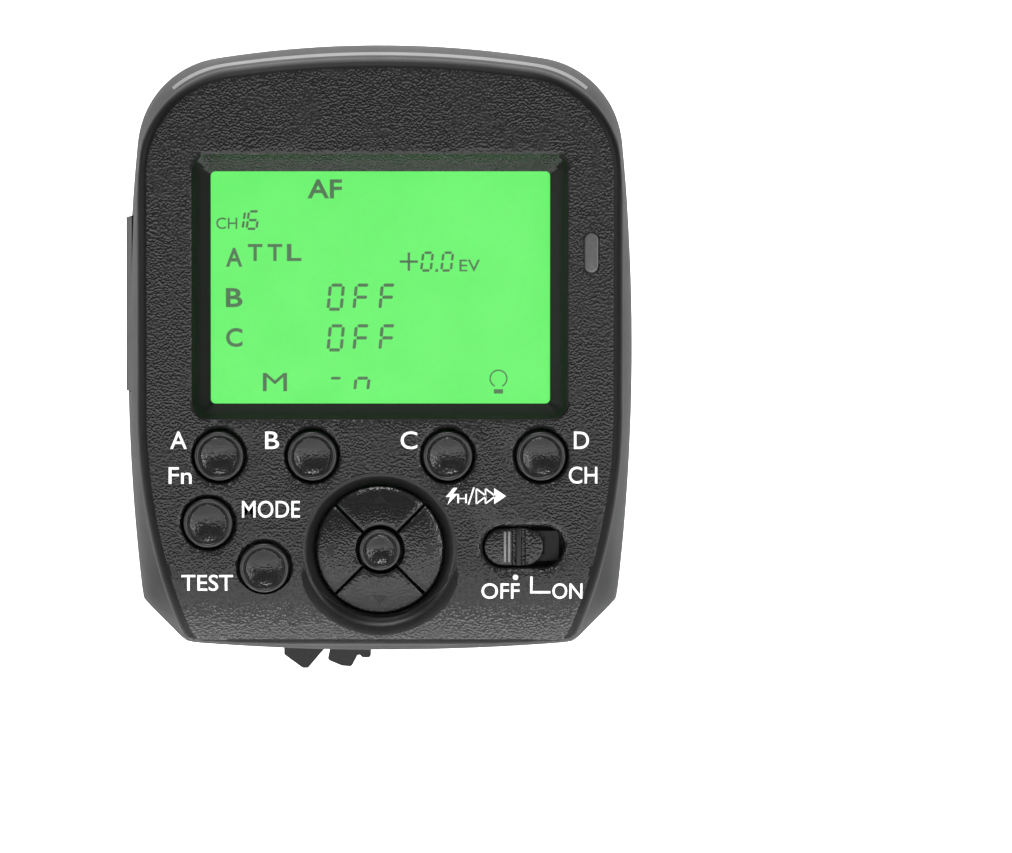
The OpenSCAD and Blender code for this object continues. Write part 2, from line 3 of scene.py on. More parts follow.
import bmesh
import bpy
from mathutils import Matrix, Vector


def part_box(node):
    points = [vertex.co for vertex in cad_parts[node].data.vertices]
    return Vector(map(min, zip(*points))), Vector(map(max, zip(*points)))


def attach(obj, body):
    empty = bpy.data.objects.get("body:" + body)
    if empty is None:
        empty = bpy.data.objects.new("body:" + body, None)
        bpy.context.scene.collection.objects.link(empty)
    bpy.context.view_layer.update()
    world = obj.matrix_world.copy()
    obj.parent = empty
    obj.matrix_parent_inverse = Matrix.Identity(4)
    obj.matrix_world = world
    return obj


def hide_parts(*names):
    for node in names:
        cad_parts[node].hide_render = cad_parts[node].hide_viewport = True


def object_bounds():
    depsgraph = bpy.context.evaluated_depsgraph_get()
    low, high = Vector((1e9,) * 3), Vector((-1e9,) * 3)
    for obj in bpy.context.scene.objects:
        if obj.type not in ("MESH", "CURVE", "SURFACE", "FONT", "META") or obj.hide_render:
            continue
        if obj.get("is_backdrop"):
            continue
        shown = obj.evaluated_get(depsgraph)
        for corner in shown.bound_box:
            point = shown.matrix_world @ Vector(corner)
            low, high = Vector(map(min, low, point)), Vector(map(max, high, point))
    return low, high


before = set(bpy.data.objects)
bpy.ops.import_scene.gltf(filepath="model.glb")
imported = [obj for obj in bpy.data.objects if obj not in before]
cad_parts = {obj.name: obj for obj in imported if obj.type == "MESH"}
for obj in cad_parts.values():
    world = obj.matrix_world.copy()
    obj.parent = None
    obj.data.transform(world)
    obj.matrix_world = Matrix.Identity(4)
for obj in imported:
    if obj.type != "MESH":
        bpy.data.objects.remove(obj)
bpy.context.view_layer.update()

# Everything below is drawn in millimetres and scaled once, when a mesh is made.
# A "depth" is a distance from the foot plate's outer face towards the screen, along -Y.
MM = 0.001


def span(node):
    """A node's limits in mm: x, depth and z, each as (low, high)."""
    low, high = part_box(node)
    return (
        (low[0] / MM, high[0] / MM),
        (-high[1] / MM, -low[1] / MM),
        (low[2] / MM, high[2] / MM),
    )


def middle(node):
    """The middle of a node in (x, z), in mm."""
    x, _, z = span(node)
    return (x[0] + x[1]) / 2, (z[0] + z[1]) / 2


# ---------------------------------------------------------------- case sizes, from the frame

CASE_X, CASE_D, CASE_Z = span("front_housing")
HALF = (CASE_X[1] - CASE_X[0]) / 2
UP = (CASE_Z[1] - CASE_Z[0]) / 2
MID_Z = (CASE_Z[0] + CASE_Z[1]) / 2
PART_D, FACE_D = CASE_D
SIDE_R, TOP_R, LOW_R, CORNER_R = 270.0, 134.0, 300.0, 12.0
# Where the cut-off lower corners lie, as |x| - z from the case's middle
CHAMFER = HALF - 1.4 + UP - 7.2
# Points round a ring of the case, and round any other outline
AROUND = 320
ROUND = 96

# ---------------------------------------------------------------- mesh helpers


def add_mesh(name, verts, faces, materials, smooth=True):
    """A new object from points in mm as (x, depth, z)."""
    mesh = bpy.data.meshes.new(name)
    mesh.from_pydata([(x * MM, -d * MM, z * MM) for x, d, z in verts], [], faces)
    mesh.validate()
    obj = bpy.data.objects.new(name, mesh)
    bpy.context.scene.collection.objects.link(obj)
    for mat in materials:
        mesh.materials.append(mat)
    tidy_normals(obj)
    if smooth:
        mesh.shade_smooth()
    return obj


def tidy_normals(obj):
    bm = bmesh.new()
    bm.from_mesh(obj.data)
    bmesh.ops.recalc_face_normals(bm, faces=bm.faces)
    bm.to_mesh(obj.data)
    bm.free()


def loft(rings, ends=True):
    """Points and faces of a skin through rings of equal length, with both ends closed or open."""
    count = len(rings[0])
    verts = [p for ring in rings for p in ring]
    faces = []
    for r in range(len(rings) - 1):
        for i in range(count):
            j = (i + 1) % count
            faces.append((r * count + i, r * count + j, (r + 1) * count + j, (r + 1) * count + i))
    for ring, base in ((rings[0], 0), (rings[-1], (len(rings) - 1) * count)) if ends else ():
        verts.append(tuple(sum(p[k] for p in ring) / count for k in range(3)))
        faces += [(base + i, base + (i + 1) % count, len(verts) - 1) for i in range(count)]
    return verts, faces


def circle(x, z, r, count=ROUND):
    return [(x + r * math.cos(t), z + r * math.sin(t)) for t in turns(count)]


def turns(count):
    return [2 * math.pi * i / count for i in range(count)]


def capsule(x, z, length, width, upright=False):
    """A bar with round ends, as (x, z) points."""
    r, flat = width / 2, (length - width) / 2
    out = []
    for t in turns(ROUND):
        c, s = math.cos(t), math.sin(t)
        u, v = r * c + math.copysign(flat, c), r * s
        out.append((x - v, z + u) if upright else (x + u, z + v))
    return out


def round_box(x0, x1, z0, z1, r, count=ROUND):
    """A rectangle with round corners, as (x, z) points."""
    out = []
    for t in turns(count):
        c, s = math.cos(t), math.sin(t)
        out.append(((x1 if c > 0 else x0) - math.copysign(r, c) + r * c,
                    (z1 if s > 0 else z0) - math.copysign(r, s) + r * s))
    return out


def at_depth(outline, depth):
    return [(x, depth, z) for x, z in outline]


def lathe(x, z, profile, count=ROUND):
    """Rings about the depth axis through (x, z), from (radius, depth) pairs."""
    return [at_depth(circle(x, z, max(r, 1e-4), count), d) for r, d in profile]


def stack(shape, steps):
    """Rings of one outline family: shape(grow) at each (grow, depth)."""
    return [at_depth(shape(grow), d) for grow, d in steps]


def solid(name, rings, material):
    verts, faces = loft(rings)
    return add_mesh(name, verts, faces, [material])


def joined(name, parts):
    """One mesh from several objects, which are used up."""
    bm = bmesh.new()
    for part in parts:
        bm.from_mesh(part.data)
    mesh = bpy.data.meshes.new(name)
    bm.to_mesh(mesh)
    bm.free()
    for mat in parts[0].data.materials:
        mesh.materials.append(mat)
    for part in parts:
        bpy.data.objects.remove(part)
    obj = bpy.data.objects.new(name, mesh)
    bpy.context.scene.collection.objects.link(obj)
    return obj


def carve(obj, cutters):
    """Cuts several closed shapes out of an object."""
    tool = joined("cutter", cutters)
    mod = obj.modifiers.new("carve", "BOOLEAN")
    mod.operation = "DIFFERENCE"
    mod.solver = "EXACT"
    mod.use_self = False
    mod.material_mode = "INDEX"
    mod.object = tool
    apply_modifiers(obj)
    bpy.data.objects.remove(tool)


def apply_modifiers(obj):
    """Swaps the mesh for its evaluated result."""
    graph = bpy.context.evaluated_depsgraph_get()
    mesh = bpy.data.meshes.new_from_object(obj.evaluated_get(graph), depsgraph=graph)
    obj.modifiers.clear()
    old, obj.data = obj.data, mesh
    bpy.data.meshes.remove(old)


def crisp(obj, degrees=32):
    """Smooth shading with edges kept sharp above an angle and where the material changes."""
    obj.data.shade_smooth()
    bm = bmesh.new()
    bm.from_mesh(obj.data)
    bmesh.ops.remove_doubles(bm, verts=bm.verts, dist=1e-7)
    limit = math.radians(degrees)
    for edge in bm.edges:
        if len(edge.link_faces) == 2:
            one, two = edge.link_faces
            same = one.material_index == two.material_index
            edge.smooth = same and edge.calc_face_angle(0) < limit
    bm.to_mesh(obj.data)
    bm.free()


def use_slot(obj, index):
    """Gives every face the same material index."""
    for poly in obj.data.polygons:
        poly.material_index = index


# ---------------------------------------------------------------- case outlines


def corner_centre():
    """Where the round upper corner's centre lies, from the side and top arcs."""
    cx, cz = HALF - CORNER_R, UP - CORNER_R
    for _ in range(60):
        cx = (HALF - SIDE_R) + math.sqrt((SIDE_R - CORNER_R) ** 2 - cz * cz)
        cz = (UP - TOP_R) + math.sqrt((TOP_R - CORNER_R) ** 2 - cx * cx)
    return cx, cz


CORNER = corner_centre()


def in_wedge(vx, vz, first, second):
    """Whether a direction lies between two others, counted anticlockwise."""
    return first[0] * vz - first[1] * vx >= 0 and vx * second[1] - vz * second[0] >= 0


def inside_body(x, z, inset):
    """Whether a point lies within the case's outline, drawn in by inset."""
    ax = abs(x)
    if math.hypot(ax - (HALF - SIDE_R), z) > SIDE_R - inset:
        return False
    if math.hypot(ax, z - (UP - TOP_R)) > TOP_R - inset:
        return False
    if math.hypot(ax, z - (LOW_R - UP)) > LOW_R - inset:
        return False
    if ax - z > CHAMFER - inset * math.sqrt(2):
        return False
    vx, vz = ax - CORNER[0], z - CORNER[1]
    side = (CORNER[0] - (HALF - SIDE_R), CORNER[1])
    top = (CORNER[0], CORNER[1] - (UP - TOP_R))
    if in_wedge(vx, vz, side, top) and math.hypot(vx, vz) > CORNER_R - inset:
        return False
    return True


# The screen face's half width, its height above and below the case's middle, and its side arcs
FACE_HALF, FACE_UP, FACE_LOW = 29.2, 35.1, 36.9
FACE_SIDE_R, FACE_SIDE_Z = 73.0, -8.0


def inside_face(x, z, grow):
    """Whether a point lies within the screen face's outline, let out by grow."""
    ax = abs(x)
    if ax > FACE_HALF + grow or z < -FACE_LOW - grow * 0.6:
        return False
    if math.hypot(ax, z - (FACE_UP - TOP_R)) > TOP_R + grow:
        return False
    from_side = math.hypot(ax - (FACE_HALF - FACE_SIDE_R), z - FACE_SIDE_Z)
    if z < FACE_SIDE_Z and from_side > FACE_SIDE_R + grow:
        return False
    cx = FACE_HALF - CORNER_R
    cz = (FACE_UP - TOP_R) + math.sqrt((TOP_R - CORNER_R) ** 2 - cx * cx)
    if in_wedge(ax - cx, z - cz, (1, 0), (cx, cz - (FACE_UP - TOP_R))):
        return math.hypot(ax - cx, z - cz) <= CORNER_R + grow
    return True


def reach(test, angle, amount):
    """How far a ray from the case's middle goes before test fails."""
    c, s = math.cos(angle), math.sin(angle)
    low, high = 1.0, 80.0
    for _ in range(34):
        mid = (low + high) / 2
        if test(mid * c, mid * s, amount):
            low = mid
        else:
            high = mid
    return low


def even_angles():
    """Angles whose rays meet the case's outline at even steps."""
    fine = 2880
    points = []
    for t in turns(fine):
        r = reach(inside_body, t, 0)
        points.append((r * math.cos(t), r * math.sin(t)))
    steps = [0.0]
    for i in range(fine):
        a, b = points[i], points[(i + 1) % fine]
        steps.append(steps[-1] + math.hypot(b[0] - a[0], b[1] - a[1]))
    out, i = [], 0
    for k in range(AROUND):
        want = steps[-1] * k / AROUND
        while steps[i + 1] < want:
            i += 1
        part = (want - steps[i]) / (steps[i + 1] - steps[i])
        out.append(2 * math.pi * (i + part) / fine)
    return out


ANGLES = even_angles()


def reaches(test, amount):
    """An outline's distance from the middle at every angle, its lower corners softened."""
    out = [reach(test, t, amount) for t in ANGLES]
    for _ in range(2):
        soft = [(out[i - 1] + 2 * out[i] + out[(i + 1) % AROUND]) / 4 for i in range(AROUND)]
        out = [soft[i] if math.sin(ANGLES[i]) < -0.5 else out[i] for i in range(AROUND)]
    return out


def ring(radii, depths):
    """A closed ring around the case's middle from radii and depths per angle."""
    if not isinstance(depths, list):
        depths = [depths] * AROUND
    return [(r * math.cos(t), d, MID_Z + r * math.sin(t)) for r, t, d in zip(radii, ANGLES, depths)]


def mix(a, b, part):
    return [u + (v - u) * part for u, v in zip(a, b)]


def smallest(a, b):
    return [min(u, v) for u, v in zip(a, b)]


# ---------------------------------------------------------------- materials


class Nodes:
    """A node material under construction."""

    def __init__(self, name):
        self.mat = bpy.data.materials.new(name)
        self.mat.use_nodes = True
        self.tree = self.mat.node_tree
        self.tree.nodes.clear()
        self.out = self.tree.nodes.new("ShaderNodeOutputMaterial")
        self.bsdf = self.tree.nodes.new("ShaderNodeBsdfPrincipled")
        self.tree.links.new(self.bsdf.outputs[0], self.out.inputs[0])
        self.coord = self.tree.nodes.new("ShaderNodeTexCoord").outputs["Object"]

    def noise(self, size_mm, detail=2.0, rough=0.5):
        node = self.tree.nodes.new("ShaderNodeTexNoise")
        node.inputs["Scale"].default_value = 1000.0 / size_mm
        node.inputs["Detail"].default_value = detail
        node.inputs["Roughness"].default_value = rough
        self.tree.links.new(self.coord, node.inputs["Vector"])
        return node.outputs[0]

    def pebble(self, size_mm):
        """Small round bumps side by side, as etched into a mould."""
        node = self.tree.nodes.new("ShaderNodeTexVoronoi")
        node.feature = "SMOOTH_F1"
        node.inputs["Scale"].default_value = 1000.0 / size_mm
        node.inputs["Smoothness"].default_value = 0.35
        self.tree.links.new(self.coord, node.inputs["Vector"])
        return node.outputs["Distance"]

    def ramp(self, source, low, high, start=0.3, end=0.7):
        node = self.tree.nodes.new("ShaderNodeMapRange")
        node.inputs["From Min"].default_value = start
        node.inputs["From Max"].default_value = end
        node.inputs["To Min"].default_value = low
        node.inputs["To Max"].default_value = high
        self.tree.links.new(source, node.inputs["Value"])
        return node.outputs[0]

    def tint(self, source, dark, light):
        node = self.tree.nodes.new("ShaderNodeValToRGB")
        node.color_ramp.elements[0].position = 0.32
        node.color_ramp.elements[1].position = 0.68
        node.color_ramp.elements[0].color = (*dark, 1)
        node.color_ramp.elements[1].color = (*light, 1)
        self.tree.links.new(source, node.inputs["Fac"])
        return node.outputs[0]

    def bump(self, source, strength, depth_mm):
        node = self.tree.nodes.new("ShaderNodeBump")
        node.inputs["Strength"].default_value = strength
        node.inputs["Distance"].default_value = depth_mm * MM
        self.tree.links.new(source, node.inputs["Height"])
        self.tree.links.new(node.outputs[0], self.bsdf.inputs["Normal"])

    def set(self, **values):
        for key, value in values.items():
            self.bsdf.inputs[key.replace("_", " ")].default_value = value

    def feed(self, socket, name):
        self.tree.links.new(socket, self.bsdf.inputs[name])


def grey(value, warm=0.0):
    return (value * (1 + warm), value, value * (1 - warm))


def plastic(name, shade, grain_mm, grain_depth, rough, warm=0.0, spread=0.25, shine=0.5):
    """Moulded plastic: fine grain, patchy roughness, a faint change of tone."""
    n = Nodes(name)
    grain = n.pebble(grain_mm)
    patch = n.noise(6.0, 3.0, 0.6)
    dark, light = grey(shade * (1 - spread), warm), grey(shade * (1 + spread), warm)
    n.feed(n.tint(n.noise(grain_mm * 1.3, 1.0, 0.5), dark, light), "Base Color")
    n.feed(n.ramp(patch, rough - 0.02, rough + 0.02), "Roughness")
    n.set(Specular_IOR_Level=shine)
    n.bump(grain, 1.0, grain_depth)
    return n.mat


def metal(name, color, grain_mm, grain_depth, rough):
    """Worn metal: fine grain in the surface and a soft change of roughness."""
    n = Nodes(name)
    grain = n.noise(grain_mm, 2.0, 0.6)
    wear = n.noise(2.5, 4.0, 0.65)
    dark, light = [tuple(c * k for c in color) for k in (0.92, 1.08)]
    n.feed(n.tint(wear, dark, light), "Base Color")
    n.feed(n.ramp(wear, rough - 0.06, rough + 0.06), "Roughness")
    n.set(Metallic=1.0)
    n.bump(grain, 0.8, grain_depth)
    return n.mat


def glow(name, dark, light, size_mm, strength):
    """A lit surface with a faint mottle in the light behind it."""
    n = Nodes(name)
    mottle = n.noise(size_mm, 2.0, 0.5)
    color = n.tint(mottle, dark, light)
    n.feed(color, "Emission Color")
    n.feed(n.ramp(mottle, 0.45, 0.55), "Roughness")
    n.set(Base_Color=(0.01, 0.01, 0.01, 1), Emission_Strength=strength)
    n.bump(mottle, 0.1, 0.005)
    return n.mat


# name, shade, grain size and depth in mm, roughness
FACE = plastic("face_grain", 0.006, 0.31, 0.10, 0.27, spread=0.5, shine=0.38)
BAND = plastic("band_satin", 0.002, 0.20, 0.004, 0.45, shine=0.12)
SIDE = plastic("side_satin", 0.006, 0.18, 0.006, 0.60, shine=0.10)
REAR = plastic("rear_grain", 0.007, 0.38, 0.080, 0.36, spread=0.4, shine=0.28)
BLACK = plastic("black_plastic", 0.005, 0.20, 0.004, 0.40, shine=0.3)
DISC = plastic("disc_smooth", 0.008, 0.20, 0.004, 0.42, shine=0.35)
CAP = plastic("cap_grain", 0.005, 0.30, 0.050, 0.23, spread=0.4, shine=0.40)
CAP_RIM = plastic("cap_rim", 0.010, 0.20, 0.003, 0.30, shine=0.4)
# The ridges' light grey is a painted highlight where the knob's crests catch the light.
RIDGE_HIGHLIGHT = plastic("ridge_painted_highlight", 0.16, 0.20, 0.004, 0.30, spread=0.15)
RUBBER = plastic("flap_rubber", 0.008, 0.20, 0.004, 0.62, shine=0.1)
WHITE = plastic("white_print", 0.78, 0.10, 0.002, 0.55, spread=0.05)
LABEL = plastic("label_film", 0.010, 0.5, 0.004, 0.33)
GREY_PRINT = plastic("grey_print", 0.30, 0.10, 0.002, 0.55, spread=0.05)
LAMP = plastic("lamp_lens", 0.06, 0.20, 0.003, 0.30, spread=0.1)
BOARD = plastic("board_green", 0.05, 0.25, 0.006, 0.45)
FLEX = plastic("flex_amber", 0.16, 0.30, 0.003, 0.35, warm=0.5)
SLEEVE = plastic("cell_sleeve", 0.12, 0.40, 0.003, 0.30)
IVORY = plastic("ivory_plastic", 0.55, 0.30, 0.003, 0.50, spread=0.05)
PLATE = metal("plate_blasted", (0.36, 0.335, 0.325), 0.22, 0.014, 0.50)
SILVER = metal("silver_metal", (0.72, 0.72, 0.72), 0.30, 0.003, 0.24)
STEEL = metal("dark_steel", (0.20, 0.20, 0.21), 0.30, 0.004, 0.34)
GOLD = metal("gold_plate", (0.86, 0.62, 0.26), 0.25, 0.002, 0.22)
GREEN = glow("screen_green", (0.125, 0.95, 0.135), (0.14, 0.99, 0.15), 6.0, 0.98)
INK = glow("screen_mark", (0.055, 0.155, 0.055), (0.065, 0.175, 0.065), 3.0, 1.0)


def glass():
    """Nearly clear, with a faint smear in its gloss."""
    n = Nodes("window_glass")
    smear = n.noise(14.0, 3.0, 0.6)
    clear = n.tree.nodes.new("ShaderNodeBsdfTransparent")
    blend = n.tree.nodes.new("ShaderNodeMixShader")
    blend.inputs[0].default_value = 0.05
    n.feed(n.ramp(smear, 0.04, 0.14), "Roughness")
    n.set(Base_Color=(0.02, 0.02, 0.02, 1))
    n.bump(smear, 0.05, 0.01)
    n.tree.links.new(clear.outputs[0], blend.inputs[1])
    n.tree.links.new(n.bsdf.outputs[0], blend.inputs[2])
    n.tree.links.new(blend.outputs[0], n.out.inputs[0])
    return n.mat


GLASS = glass()

# The finish of every CAD node, shown or not
FINISH = {
    "front_housing": FACE, "rear_housing": REAR, "battery_door": REAR, "label_plate": LABEL,
    "display_window": GLASS, "lcd_panel": GREEN, "backlight": IVORY, "main_board": BOARD,
    "board_chips": BLACK, "radio_module": SILVER, "buzzer": BLACK, "tact_switches": SILVER,
    "switch_knob": CAP, "power_switch": BLACK, "status_lamp": LAMP, "status_led": IVORY,
    "battery_tray": BLACK, "cell_upper": SLEEVE, "cell_lower": SLEEVE, "battery_springs": SILVER,
    "battery_contacts": SILVER, "usb_socket": SILVER, "sync_jack": BLACK, "port_cover": RUBBER,
    "foot_base": DISC, "foot_plate": PLATE, "contact_insert": BLACK, "contact_barrels": GOLD,
    "lock_pin": SILVER, "lever_ring": BLACK, "wave_washer": SILVER, "foot_retainer": BLACK,
    "contact_board": BOARD, "flex_lead": FLEX, "foot_screws": STEEL, "hub_screws": STEEL,
    "case_screws": STEEL,
}
for key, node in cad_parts.items():
    finish = FINISH.get(key, GOLD if "contact" in key else CAP)
    node.data.materials.clear()
    node.data.materials.append(finish)


def place(obj, body, slot, *nodes):
    """A finished piece rides a body and stands for its CAD nodes; its slot argument is not used."""
    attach(obj, body)
    if nodes:
        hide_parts(*nodes)
    return obj


# ---------------------------------------------------------------- front housing

# The rounded edge round the screen face, as (outwards, back)
BAND_STEPS = [
    (0, 0), (0.22, 0.03), (0.5, 0.12), (0.85, 0.34), (1.15, 0.66), (1.4, 1.1), (1.55, 1.6),
]
# Where the face starts to curve back, over what height, and how far it has gone by then
LOWER_START, LOWER_SPAN, LOWER_DROP = -27.0, 9.6, 2.9


def face_depth(z):
    """How deep the screen face lies at a height: flat, then curving back at the bottom."""
    fall = max(0.0, (LOWER_START - z) / LOWER_SPAN)
    return FACE_D - LOWER_DROP * fall * fall


def face_ring(grow, drop, scale=1.0):
    """A ring on the screen face, or just outside it and further back."""
    outer = reaches(inside_face, grow)
    limit = reaches(inside_body, 1.15)
    radii = [r * scale for r in smallest(outer, limit)]
    return ring(radii, [face_depth(r * math.sin(t)) - drop for r, t in zip(radii, ANGLES)])


def shell_rings():
    """Outside from the face's middle to the parting line, then the inside back to the face."""
    scales = (0.04, 0.3, 0.5, 0.64, 0.72, 0.76, 0.8, 0.84, 0.88, 0.92, 0.96, 0.985)
    rings = [face_ring(0, 0, scale) for scale in scales]
    rings += [face_ring(grow, drop) for grow, drop in BAND_STEPS]
    rim = rings[-1]
    rim_r = [math.hypot(x, z - MID_Z) for x, _, z in rim]
    rim_d = [d for _, d, _ in rim]
    body = reaches(inside_body, 0)
    for part in (0.12, 0.28, 0.45, 0.62, 0.8, 0.94):
        swell = 1 - (1 - part) ** 1.5
        rings.append(ring(mix(rim_r, body, swell), [d + (PART_D - d) * part for d in rim_d]))
    for inset, rise in ((0, 0.5), (0.12, 0.2), (0.3, 0.02), (1.8, 0.02), (2.4, 6)):
        rings.append(ring([r - inset for r in body], PART_D + rise))
    wall = 2.4
    inner = smallest(reaches(inside_face, -0.6), reaches(inside_body, 3.4))
    inner_d = [face_depth(r * math.sin(t)) - wall for r, t in zip(inner, ANGLES)]
    rings.append(ring(inner, inner_d))
    rings.append(ring([r * 0.5 for r in inner], FACE_D - wall))
    return rings


# The screen recess at the face: half width, and its limits from the case's middle
SCREEN_X, SCREEN_LOW, SCREEN_TOP = 23.5, -8.6, 24.3
# The straight opening round the glass, as (low, high) in x and from the case's middle
GLASS_X, GLASS_Z = (-21.4, 21.5), (-7.0, 22.35)
PAD_X, PAD_Z = middle("key_set")
KNOB_X, KNOB_Z = middle("switch_knob")[0] + 1.2, middle("switch_knob")[1]
ROUND_KEYS = ["button_a", "button_b", "button_c", "button_d", "button_mode", "button_test"]
PAD_ROUND = 160


def screen_shape(part, grow=0.0):
    """The screen recess from its bowed outer edge (0) to the straight edge round the glass (1)."""
    half, count = SCREEN_X + grow, 200
    outer = round_box(-half, half, SCREEN_LOW - grow, SCREEN_TOP + grow, 1.9 + grow, count)
    inner = round_box(*GLASS_X, *GLASS_Z, 0.6, count)
    out = []
    for (x, z), (u, v) in zip(outer, inner):
        z -= 0.95 * max(0.0, (6.0 - z) / 14.6) * (1 - (x / half) ** 2)
        out.append((x + (u - x) * part, MID_Z + z + (v - z) * part))
    return out


def below_face(steps):
    """Steps as (size, depth), from drops below the flat of the screen face."""
    return [(size, FACE_D - drop) for size, drop in steps]


def front_cutters():
    """The closed shapes cut from the front: screen, key wells, pad, switch slot, lamp and flap."""
    # From well above the face to well inside its wall
    above, through = -0.7, 5
    lip = below_face([(0.5, above), (0.5, -0.01), (0.28, 0.06), (0.1, 0.2), (0, 0.5)])
    rings = [at_depth(screen_shape(0, grow), d) for grow, d in lip]
    slopes = below_face([(0.5, 1.38), (1, 2.25), (1, 4.5)])
    rings += [at_depth(screen_shape(part), d) for part, d in slopes]
    cuts = [solid("cut", rings, BAND)]
    well = [(3.95, above), (3.95, -0.02), (3.62, 0.1), (3.44, 0.3), (3.36, 0.65), (3.34, through)]
    for key in ROUND_KEYS:
        cuts.append(solid("cut", lathe(*middle(key), below_face(well)), BLACK))
    pad = [
        (9.75, above), (9.75, -0.02), (9.4, 0.14), (9.15, 0.5), (8.6, 1.1), (8.28, 1.4),
        (8.28, through),
    ]
    cuts.append(solid("cut", lathe(PAD_X, PAD_Z, below_face(pad), PAD_ROUND), BLACK))

    def slot_shape(grow):
        return capsule(KNOB_X, KNOB_Z, 10.3 + 2 * grow, 5.2 + 2 * grow)

    slot = [(0.75, above), (0.75, -0.02), (0.5, 0.1), (0.2, 0.4), (0, 0.8), (0, through)]
    cuts.append(solid("cut", stack(slot_shape, below_face(slot)), BLACK))
    lamp_x, lamp_z = middle("status_lamp")

    def lamp_shape(grow):
        return capsule(lamp_x, lamp_z, 5.25 + 2 * grow, 1.95 + 2 * grow, upright=True)

    hole = [(0.15, above), (0.15, -0.01), (0, 0.15), (0, through)]
    cuts.append(solid("cut", stack(lamp_shape, below_face(hole)), BLACK))
    _, flap_d, flap_z = span("port_cover")
    gap = 0.12
    base, top = flap_d[0] - gap, flap_d[1] + 0.15
    corners = [(-34, base), (-34, top), (-30.4, top), (-31.5, base)]
    verts = [(x, d, z) for z in (flap_z[0] - gap, flap_z[1] + gap) for x, d in corners]
    faces = [(0, 1, 2, 3), (7, 6, 5, 4), (0, 4, 5, 1), (1, 5, 6, 2), (2, 6, 7, 3), (3, 7, 4, 0)]
    cuts.append(add_mesh("cut", verts, faces, [BLACK]))
    return cuts


def build_front():
    verts, faces = loft(shell_rings())
    obj = add_mesh("front_shell", verts, faces, [FACE])
    carve(obj, front_cutters())
    slots = obj.data.materials
    finishes = (FACE, BAND, SIDE, BLACK)
    for mat in finishes:
        if slots.find(mat.name) < 0:
            slots.append(mat)
    face, band, side, black = [slots.find(mat.name) for mat in finishes]

    def choose(x, d, z, facing):
        """The finish at a point, z from the case's middle, facing 1 on the screen's side."""
        if abs(x) < 25 and -10.3 < z < 25.2 and d < FACE_D - 0.01:
            if d < FACE_D - 2:
                return black
            return face if z > 22.3 and abs(x) < 22.6 else band
        from_pad = math.hypot(x - PAD_X, z + MID_Z - PAD_Z)
        well_wall = 40.9 < d < 43.5 and facing < 0.3 and abs(x) < 26 and z > -33
        if from_pad < 8.4 or well_wall or (from_pad < 9.8 and d < FACE_D - 0.02):
            return black
        if inside_face(x, z, 0.12):
            return face
        return band if face_depth(z) - d < 1.75 else side

    for poly in obj.data.polygons:
        if poly.material_index != black:
            c = poly.center / MM
            poly.material_index = choose(c.x, -c.y, c.z - MID_Z, -poly.normal.y)
    crisp(obj, 40)
    return place(obj, "root", "case_plastic", "front_housing")


build_front()


def build_collar():
    """The raised ring round the pad, which stands clear where the face curves back."""
    profile = below_face([
        (10.95, 3.6), (10.95, 1.4), (10.9, 0.7), (10.72, 0.28), (10.4, 0.08), (10.0, 0.025),
        (9.75, 0.04), (9.42, 0.16), (9.17, 0.52), (8.62, 1.12), (8.3, 1.4), (8.3, 3.6),
        (10.95, 3.6),
    ])
    verts, faces = loft(lathe(PAD_X, PAD_Z, profile, PAD_ROUND), ends=False)
    obj = add_mesh("pad_collar", verts, faces, [SIDE, BLACK])
    for poly in obj.data.polygons:
        c = poly.center / MM
        poly.material_index = 1 if math.hypot(c.x - PAD_X, c.z - PAD_Z) < 9.7 else 0
    crisp(obj, 40)
    return place(obj, "root", "case_plastic")


build_collar()

# ---------------------------------------------------------------- keys and buttons


def two_tone(obj, x, z, radius, outer_mat, inner_mat):
    """One finish inside a radius on the screen's side, another elsewhere."""
    obj.data.materials.clear()
    obj.data.materials.append(outer_mat)
    obj.data.materials.append(inner_mat)
    for poly in obj.data.polygons:
        c = poly.center / MM
        inner = math.hypot(c.x - x, c.z - z) < radius and poly.normal.y < -0.3
        poly.material_index = 1 if inner else 0


def round_key(name, r, flange):
    """A cap with a raised rim, a fine groove and a dished middle."""
    x, z = middle(name)
    low, top = span(name)[1]
    low = max(low, 41.8)
    rim = [
        (0.01, low), (flange, low), (flange, low + 0.8), (r, low + 0.9), (r, top - 0.35),
        (r - 0.05, top - 0.14), (r - 0.17, top - 0.02), (r - 0.3, top), (r - 0.44, top - 0.05),
        (r - 0.53, top - 0.18), (r - 0.6, top - 0.42), (r - 0.68, top - 0.42),
        (r - 0.74, top - 0.2), (r - 0.84, top - 0.12),
    ]
    edge, dish = r - 0.84, 0.62
    parts = (0.93, 0.84, 0.72, 0.58, 0.42, 0.25, 0.1, 0.004)
    rim += [(edge * k, top - 0.12 - dish * (1 - k * k)) for k in parts]
    obj = solid(name + "_cap", lathe(x, z, rim), CAP)
    two_tone(obj, x, z, r - 0.72, CAP_RIM, CAP)
    crisp(obj, 50)
    return place(obj, name, "button_plastic", name)


